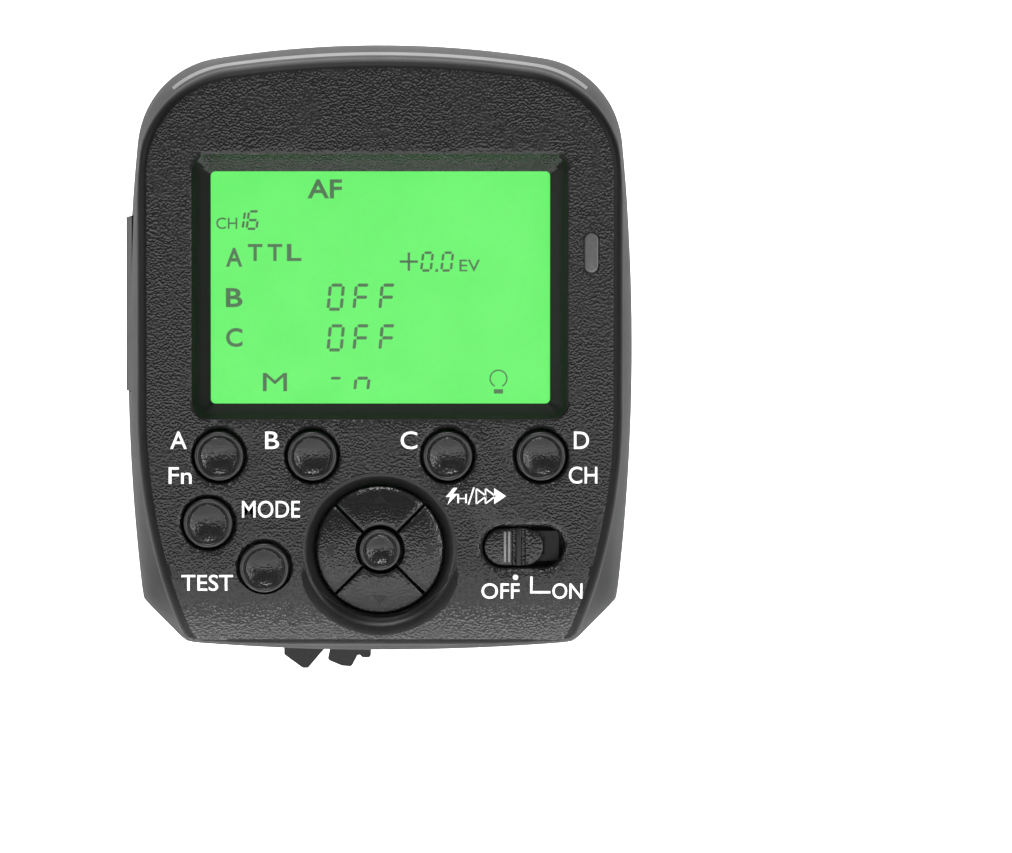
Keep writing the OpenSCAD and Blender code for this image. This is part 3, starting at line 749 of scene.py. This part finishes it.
def pad_key(name, facing):
    """A quarter of the four-way pad, sloping gently outwards, with a small arrow."""
    top = span(name)[1][1]
    inner, outer, half_gap = 3.02, 8.05, 0.14

    def surface(r):
        return top - 0.02 - 0.9 * max(0.0, (r - 2.6) / 5.45) ** 2

    radii = [inner, inner + 0.06, inner + 0.2]
    radii += [inner + 0.2 + (outer - inner - 0.42) * k / 9 for k in range(1, 10)]
    radii += [outer - 0.08, outer]
    falls = [0.3, 0.08, 0.0] + [0.0] * 9 + [0.1, 0.34]
    edges = [(0.0, 0.24), (0.07, 0.07), (0.2, 0.0)]
    columns = [(offset, drop, 0) for offset, drop in edges]
    columns += [(0.2, 0, k / 14) for k in range(1, 14)]
    columns += [(offset, drop, 1) for offset, drop in reversed(edges)]
    rings = []
    for offset, drop, part in columns:
        loop = []
        for r, fall in zip(radii, falls):
            end = math.pi / 4 - math.asin((half_gap + offset) / r)
            turn = facing - end + 2 * end * part
            depth = surface(r) - max(fall, drop)
            loop.append((PAD_X + r * math.cos(turn), depth, PAD_Z + r * math.sin(turn)))
        base = [(x, 42.3, z) for x, _, z in (loop[-1], loop[0])]
        rings.append(loop + base)
    obj = solid(name + "_cap", rings, CAP)
    crisp(obj, 50)
    place(obj, name, "button_plastic", name)
    tip, back, wide = 6.95, 5.85, 0.95
    corners = [(tip, 0.0), (back, wide), (back, -wide)]
    c, s = math.cos(facing), math.sin(facing)
    flat = [(r * c - w * s, r * s + w * c) for r, w in corners]
    verts = [
        (PAD_X + x, surface(math.hypot(x, z)) + lift, PAD_Z + z)
        for lift in (0.02, -0.25) for x, z in flat
    ]
    faces = [(0, 1, 2), (5, 4, 3), (0, 3, 4, 1), (1, 4, 5, 2), (2, 5, 3, 0)]
    mark = add_mesh(name + "_arrow", verts, faces, [BLACK], smooth=False)
    place(mark, name, "black_plastic")


for key in ROUND_KEYS:
    round_key(key, 3.1, 3.7)
round_key("key_set", 2.6, 2.7)
for key, facing in (("key_right", 0), ("key_up", 0.5), ("key_left", 1), ("key_down", 1.5)):
    pad_key(key, facing * math.pi)


def build_knob():
    """A low slider cap: two ridges on its left half, their crests painted light grey as a
    highlight, and a dark bar between two grooves.
    """
    x, z = middle("switch_knob")
    top = span("switch_knob")[1][1]
    half, wide = 3.8, 4.86

    def clipped(left, right):
        def shape(inset):
            full = capsule(x, z, 2 * half - 2 * inset, wide - 2 * inset)
            return [(min(max(px, x + left + inset), x + right - inset), pz) for px, pz in full]
        return shape

    def ridge(at):
        left, right, tall = x + at - 0.16, x + at + 0.16, 1.95
        return lambda g: round_box(left + g, right - g, z - tall + g, z + tall - g, 0.03, 24)

    base = [(0, 42.6), (0, top - 1.1), (0.1, top - 1.0)]
    edge = [(0, top - 1.2), (0, top - 0.5), (0.07, top - 0.3), (0.2, top - 0.2), (0.45, top - 0.16)]
    crest = [(0, top - 0.6), (0, top - 0.12), (0.06, top - 0.02), (0.12, top)]
    cap, dark, lit_crest = range(3)
    parts = [solid("part", stack(clipped(-half, half), base), CAP)]
    parts[0].data.materials.append(BLACK)
    parts[0].data.materials.append(RIDGE_HIGHLIGHT)
    for left, right, finish in ((-half, -0.16, cap), (0.24, 1.0, dark), (1.4, half, cap)):
        steps = edge if finish == cap else [(inset * 0.5, d) for inset, d in edge]
        parts.append(solid("part", stack(clipped(left, right), steps), CAP))
        use_slot(parts[-1], finish)
    # The two ridge crests take the light grey finish, a painted highlight.
    for at in (-1.12, -0.6):
        parts.append(solid("part", stack(ridge(at), crest), CAP))
        use_slot(parts[-1], lit_crest)
    obj = joined("switch_knob_cap", parts)
    crisp(obj, 35)
    return place(obj, "switch_knob", "button_plastic", "switch_knob")


build_knob()


def build_lamp():
    x, z = middle("status_lamp")
    top = span("status_lamp")[1][1]

    def shape(inset):
        return capsule(x, z, 5.15 - 2 * inset, 1.85 - 2 * inset, upright=True)

    steps = [(0, 43.0), (0, top - 0.22), (0.06, top - 0.1), (0.2, top - 0.03), (0.45, top)]
    obj = solid("status_lamp_lens", stack(shape, steps), LAMP)
    crisp(obj, 40)
    return place(obj, "root", "lamp_lens", "status_lamp")


build_lamp()

# ---------------------------------------------------------------- screen


def flat_block(name, x, z, d, material):
    """A closed block between (low, high) limits in x, z and depth."""
    corners = [(x[0], z[0]), (x[1], z[0]), (x[1], z[1]), (x[0], z[1])]
    obj = solid(name, [at_depth(corners, depth) for depth in d], material)
    obj.data.shade_flat()
    return obj


def glass_limits(margin):
    """The glass's opening in x and z, let out by a margin."""
    (x0, x1), (z0, z1) = GLASS_X, GLASS_Z
    return (x0 - margin, x1 + margin), (MID_Z + z0 - margin, MID_Z + z1 + margin)


# The lit panel's face, and the window's two faces in front of it
PANEL_D = 43.32
WINDOW_D = (43.45, 43.74)
window = flat_block("screen_window", *glass_limits(-0.02), WINDOW_D, GLASS)
place(window, "root", "window", "display_window")
panel = flat_block("screen_panel", *glass_limits(0.2), (PANEL_D - 0.02, PANEL_D), GREEN)
place(panel, "root", "lcd")


def text_mark(words, x, z, height, bold=0.0, width=None):
    """Triangles of printed words, centred on (x, z), as 2-D points and faces."""
    curve = bpy.data.curves.new("words", "FONT")
    curve.body = words
    curve.size = 1.0
    curve.offset = bold
    curve.resolution_u = 4
    obj = bpy.data.objects.new("words", curve)
    bpy.context.scene.collection.objects.link(obj)
    graph = bpy.context.evaluated_depsgraph_get()
    mesh = bpy.data.meshes.new_from_object(obj.evaluated_get(graph), depsgraph=graph)
    bpy.data.objects.remove(obj)
    points = [(v.co.x, v.co.y) for v in mesh.vertices]
    faces = [tuple(p.vertices) for p in mesh.polygons]
    bpy.data.meshes.remove(mesh)
    low_x, high_x = min(p[0] for p in points), max(p[0] for p in points)
    low_y, high_y = min(p[1] for p in points), max(p[1] for p in points)
    k = height / (high_y - low_y)
    kx = k if width is None else width / (high_x - low_x)
    mid_x, mid_y = (low_x + high_x) / 2, (low_y + high_y) / 2
    return [(x + (a - mid_x) * kx, z + (b - mid_y) * k) for a, b in points], faces


# The bars each figure lights, named as on any seven-segment display
SEGMENTS = {"0": "abcdef", "1": "bc", "6": "afgedc", "F": "afge", "n": "egc", "-": "g"}


def digit(ch, x, z, h, w, slant, t):
    """The bars of a seven-segment figure centred on (x, z)."""
    hw, hh, q = w / 2, h / 2, t / 2
    bars = {
        "a": (-hw, hh, hw, hh), "d": (-hw, -hh, hw, -hh), "g": (-hw, 0, hw, 0),
        "f": (-hw, 0, -hw, hh), "b": (hw, 0, hw, hh),
        "e": (-hw, -hh, -hw, 0), "c": (hw, -hh, hw, 0),
    }
    out = []
    for name in SEGMENTS[ch]:
        ax, az, bx, bz = bars[name]
        length = math.hypot(bx - ax, bz - az)
        ux, uz = (bx - ax) / length, (bz - az) / length
        tip, near = 0.12, q + 0.05
        shape = [
            (tip, 0), (near, q), (length - near, q), (length - tip, 0), (length - near, -q),
            (near, -q),
        ]
        pts = [(ax + ux * s - uz * o, az + uz * s + ux * o) for s, o in shape]
        out.append([(x + px + slant * pz, z + pz) for px, pz in pts])
    return out


class Marks:
    """Thin printed marks gathered into one mesh. Places are (x, z) from the case's middle."""

    def __init__(self, on, lift, sink):
        """on(z) is the surface's depth, from which marks stand out by lift and reach in by sink."""
        self.on, self.lift, self.sink, self.verts, self.faces = on, lift, sink, [], []

    def add(self, points, faces):
        base, n = len(self.verts), len(points)
        for offset in (self.lift, -self.sink):
            self.verts += [(x, self.on(z) + offset, z + MID_Z) for x, z in points]
        self.faces += [tuple(base + i for i in f) for f in faces]
        self.faces += [tuple(base + n + i for i in reversed(f)) for f in faces]
        edges = dict.fromkeys(pair for f in faces for pair in zip(f, f[1:] + f[:1]))
        for a, b in edges:
            if (b, a) not in edges:
                self.faces.append((base + a, base + n + a, base + n + b, base + b))

    def shape(self, points):
        self.add(points, [tuple(range(len(points)))])

    def box(self, x0, z0, x1, z1):
        self.shape([(x0, z0), (x1, z0), (x1, z1), (x0, z1)])

    def stroke(self, a, b, half):
        """A straight line from a to b, of this half width."""
        length = math.dist(a, b)
        u, v = half * (b[0] - a[0]) / length, half * (b[1] - a[1]) / length
        self.shape([
            (a[0] - v, a[1] + u), (a[0] + v, a[1] - u), (b[0] + v, b[1] - u), (b[0] - v, b[1] + u),
        ])

    def words(self, *args, **kwargs):
        self.add(*text_mark(*args, **kwargs))

    def figures(self, chars, x, z, h, w, t, slant=0.12, step=2.3):
        for i, ch in enumerate(chars):
            for bar in digit(ch, x + i * step, z, h, w, slant, t):
                self.shape(bar)

    def build(self, name, material):
        return add_mesh(name, self.verts, self.faces, [material], smooth=False)


def screen_marks():
    m = Marks(lambda z: PANEL_D, 0.02, 0.01)
    m.words("AF", -7.0, 20.15, 2.42, bold=0.02, width=4.36)
    m.words("CH", -19.4, 15.8, 1.45, bold=0.004, width=2.67)
    m.figures("16", -17.85, 16.2, h=2.2, w=1.25, t=0.3, step=1.75, slant=0.14)
    for letter, x in (("T", -15.8), ("T", -13.3), ("L", -10.86)):
        m.words(letter, x, 12.1, 2.15, bold=0.02, width=1.84)
    for letter, z in (("A", 11.5), ("B", 6.4), ("C", 1.35)):
        m.words(letter, -18.45, z, 2.4, bold=0.02, width=2.1)
    # A plus sign and a decimal point between two noughts
    m.box(2.5, 10.8, 4.8, 11.1)
    m.box(3.5, 9.8, 3.8, 12.1)
    for x in (5.95, 8.5):
        m.figures("0", x, 10.95, h=2.25, w=1.2, t=0.32)
    m.box(7.0, 9.65, 7.35, 10.0)
    m.words("EV", 11.35, 10.45, 1.5, bold=0.006, width=2.6)
    for z in (6.45, 1.3):
        m.figures("0FF", -5.6, z, h=3.05, w=1.65, t=0.4, step=3.28, slant=0.1)
    m.words("M", -13.3, -4.3, 2.3, width=3.05)
    m.figures("-", -5.6, -3.8, h=2.4, w=1.5, t=0.34)
    m.figures("n", -2.2, -3.8, h=3.1, w=1.65, t=0.38)
    # A lamp: a circle, open at the bottom, above its cap
    sides = 28
    outer, inner = circle(15.0, -3.85, 1.15, sides), circle(15.0, -3.85, 0.97, sides)
    for i in range(sides):
        if not 19 <= i <= 22:
            j = (i + 1) % sides
            m.shape([outer[i], outer[j], inner[j], inner[i]])
    m.box(14.42, -5.75, 15.58, -5.2)
    return place(m.build("screen_figures", INK), "root", "lcd")


screen_marks()


def face_letters():
    m = Marks(face_depth, 0.04, 0.05)
    for word, x, z, height, width in (
        ("A", -25.4, -11.6, 2.2, 2.1), ("B", -13.6, -11.6, 2.2, 1.75),
        ("C", 3.65, -11.6, 2.25, 2.1), ("D", 25.4, -11.6, 2.2, 1.9),
        ("Fn", -25.2, -16.05, 2.1, 2.9), ("CH", 25.6, -16.0, 2.15, 3.6),
        ("MODE", -13.75, -20.3, 2.15, 7.3), ("TEST", -21.8, -29.6, 2.05, 6.5),
        ("OFF", 15.2, -30.65, 2.0, 4.8), ("ON", 23.65, -30.65, 2.0, 3.8),
    ):
        m.words(word, x, z, height, bold=0.004, width=width)
    # A flash, its letter, a slash, then two open arrowheads and a solid one
    m.shape([
        (9.25, -17.6), (9.75, -17.6), (9.2, -18.35), (9.8, -18.35), (8.5, -19.75), (8.85, -18.75),
        (8.3, -18.75),
    ])
    m.words("H", 10.35, -18.95, 1.15, width=1.2)
    m.shape([(11.05, -19.7), (11.25, -19.7), (11.95, -17.55), (11.75, -17.55)])
    middle_z = -18.65
    for x in (12.15, 13.3):
        corners = [(x, middle_z + 0.95), (x, middle_z - 0.95), (x + 1.25, middle_z)]
        for a, b in zip(corners, corners[1:] + corners[:1]):
            m.stroke(a, b, 0.09)
    m.shape([(14.4, middle_z + 1), (15.9, middle_z), (14.4, middle_z - 1)])
    # The switch's dot for off and corner for on
    m.shape(circle(17.1, -28.9, 0.34, 20))
    m.shape([
        (18.95, -28.8), (18.95, -30.95), (21.5, -30.95), (21.5, -30.65), (19.25, -30.65),
        (19.25, -28.8),
    ])
    return place(m.build("face_lettering", WHITE), "root", "white_plastic")


face_letters()

# ---------------------------------------------------------------- foot, screws and label


def even_ring(inside):
    """Distances from (0, 0) to an outline's edge, at even angles."""
    return [reach(lambda x, z, _: inside(x, z), t, 0) for t in turns(360)]


PLATE_BOX = span("foot_plate")


def in_plate(x, z):
    """Whether a point lies on the shoe plate, a rectangle with round corners."""
    (x0, x1), _, (z0, z1) = PLATE_BOX
    r = 1.1
    cx, cz = min(max(x, x0 + r), x1 - r), min(max(z, z0 + r), z1 - r)
    return math.hypot(x - cx, z - cz) < r or (x == cx and z == cz)


def in_keyhole(x, z):
    """Whether a point lies in the plate's opening: the insert's slot with a round end."""
    gap = 0.1
    block = abs(x) < 3.6 + gap and -8.9 - gap < z < 5.65 + gap
    return block or math.hypot(x, z - 6.35) < 1.45 + gap


def polar(radii, grow, depth):
    """A ring about (0, 0) from radii at even angles."""
    return [
        ((r + grow) * math.cos(t), depth, (r + grow) * math.sin(t))
        for r, t in zip(radii, turns(len(radii)))
    ]


def build_plate():
    outer, hole = even_ring(in_plate), even_ring(in_keyhole)
    rings = [polar(outer, g, d) for g, d in ((0, 1.95), (0, 0.16), (-0.05, 0.05), (-0.16, 0.0))]
    rings += [polar(hole, g, d) for g, d in ((0.14, 0.0), (0.04, 0.05), (0, 0.14), (0, 1.95))]
    rings.append(rings[0])
    verts, faces = loft(rings, ends=False)
    obj = add_mesh("shoe_plate", verts, faces, [PLATE])
    crisp(obj, 24)
    return place(obj, "root", "plate_metal", "foot_plate")


build_plate()


def screw(x, z, r, face, socket, deep):
    """A low domed head with a round socket, its face towards the back."""
    profile = [
        (0.01, face + 0.9), (r, face + 0.9), (r, face + 0.22), (r - 0.08, face + 0.08),
        (r - 0.25, face + 0.01), (socket + 0.12, face), (socket, face + 0.08),
        (socket * 0.9, face + deep), (0.01, face + deep + 0.1),
    ]
    return solid("screw", lathe(x, z, profile, 48), STEEL)


def screws(name, node, places, *size):
    obj = joined(name, [screw(x, z, *size) for x, z in places])
    crisp(obj, 30)
    return place(obj, "root", "dark_metal", node)


HEAD_D = span("case_screws")[1][0]
foot_places = [(side * 5.12, z) for side in (-1, 1) for z in (4.3, -6.4)]
case_places = [(side * 22.0, MID_Z - 30.9) for side in (-1, 1)]
# Head radius, depth of its face, socket radius and depth
screws("plate_screws", "foot_screws", foot_places, 0.92, -0.03, 0.4, 0.3)
screws("back_screws", "case_screws", case_places, 1.5, HEAD_D, 0.72, 0.7)


def label_print():
    """What the thing is and how its cells lie, read from behind."""
    face = span("label_plate")[1][0]
    m = Marks(lambda z: face, -0.012, -0.03)
    m.words("WIRELESS FLASH TRIGGER", 0, 29.6, 1.55, bold=0.004, width=27)
    m.words("BATTERY 1.5 V  AA x 2", 0, 26.2, 1.15, width=18)
    line, long, high = 0.12, 6.0, 0.6
    for z, plus, minus in ((23.4, 4.6, -5.4), (21.4, -5.4, 4.6)):
        m.box(-long, z - high, long, z - high + line)
        m.box(-long, z + high - line, long, z + high)
        for x in (-long, long - line):
            m.box(x, z - high + line, x + line, z + high - line)
        m.box(plus, z - line / 2, plus + 0.8, z + line / 2)
        m.box(plus + 0.34, z - 0.4, plus + 0.34 + line, z + 0.4)
        m.box(minus, z - line / 2, minus + 0.8, z + line / 2)
    m.verts = [(-x, d, z) for x, d, z in m.verts]
    return place(m.build("label_lettering", GREY_PRINT), "battery_door", "label")


label_print()

# ---------------------------------------------------------------- camera, light and stage


def camera():
    """A long lens 0.6 m away, a little above the middle."""
    data = bpy.data.cameras.new("camera")
    obj = bpy.data.objects.new("camera", data)
    bpy.context.scene.collection.objects.link(obj)
    data.sensor_width = 36.0
    data.lens = 164.8
    data.shift_x = 0.1245
    rise = math.radians(1.2)
    aim = Vector((0, -30 * MM, 14.5 * MM))
    back = Vector((0, -math.cos(rise), math.sin(rise)))
    distance = 0.6
    obj.location = aim + back * distance
    obj.rotation_mode = "QUATERNION"
    obj.rotation_quaternion = (-back).to_track_quat("-Z", "Y")
    data.clip_start, data.clip_end = 0.01, 20
    bpy.context.scene.camera = obj


def area(name, where, aim, size, power):
    data = bpy.data.lights.new(name, "AREA")
    data.shape = "RECTANGLE"
    data.size, data.size_y = size
    data.energy = power
    obj = bpy.data.objects.new(name, data)
    bpy.context.scene.collection.objects.link(obj)
    obj.location = where
    obj.rotation_mode = "QUATERNION"
    obj.rotation_quaternion = (Vector(aim) - Vector(where)).to_track_quat("-Z", "Y")
    obj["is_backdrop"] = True


def stage():
    """A sheet of paper curving up behind, well below the part, and an even dim world."""
    floor_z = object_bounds()[0][2] - 28 * MM
    wide, front, back, bend, tall = 3.0, -2.6, 1.1, 0.5, 2.2
    curve = [math.pi / 2 * k / 16 for k in range(17)]
    rows = [(front, 0.0)]
    rows += [(back - bend + bend * math.sin(a), bend - bend * math.cos(a)) for a in curve]
    rows.append((back, tall))
    verts = [(x, y, floor_z + z) for y, z in rows for x in (-wide, wide)]
    faces = [(2 * i, 2 * i + 1, 2 * i + 3, 2 * i + 2) for i in range(len(rows) - 1)]
    mesh = bpy.data.meshes.new("backdrop")
    mesh.from_pydata(verts, [], faces)
    mesh.shade_smooth()
    obj = bpy.data.objects.new("backdrop", mesh)
    bpy.context.scene.collection.objects.link(obj)
    n = Nodes("backdrop_paper")
    fibre = n.noise(1.2, 3.0, 0.6)
    n.feed(n.tint(fibre, (0.93, 0.93, 0.93), (0.95, 0.95, 0.95)), "Base Color")
    n.feed(n.ramp(fibre, 0.85, 0.95), "Roughness")
    mesh.materials.append(n.mat)
    obj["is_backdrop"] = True
    world = bpy.data.worlds.new("studio")
    bpy.context.scene.world = world
    world.use_nodes = True
    background = world.node_tree.nodes["Background"]
    background.inputs[0].default_value = (1, 1, 1, 1)
    background.inputs[1].default_value = 0.3


# name, place, aim and size in metres, power in watts
LIGHTS = (
    ("key", (-0.10, -0.42, 0.85), (0, -0.03, 0.03), (0.45, 0.20), 5.6),
    ("left", (-0.75, -0.22, 0.12), (0, -0.03, 0.02), (0.10, 0.7), 2.6),
    ("right", (0.60, -0.48, 0.16), (0, -0.03, 0.02), (0.12, 0.5), 2.6),
    ("low", (0.0, -0.18, -0.043), (0, -0.14, 0.05), (0.35, 0.14), 0.32),
    ("bevel", (0.0, -0.050, -0.0435), (0, -0.050, 0.05), (0.11, 0.012), 0.03),
    ("paper", (0.0, 0.45, 1.2), (0, 1.05, 0.25), (1.8, 0.4), 34.0),
)

camera()
stage()
for light in LIGHTS:
    area(*light)
bpy.context.scene.view_settings.view_transform = "Standard"
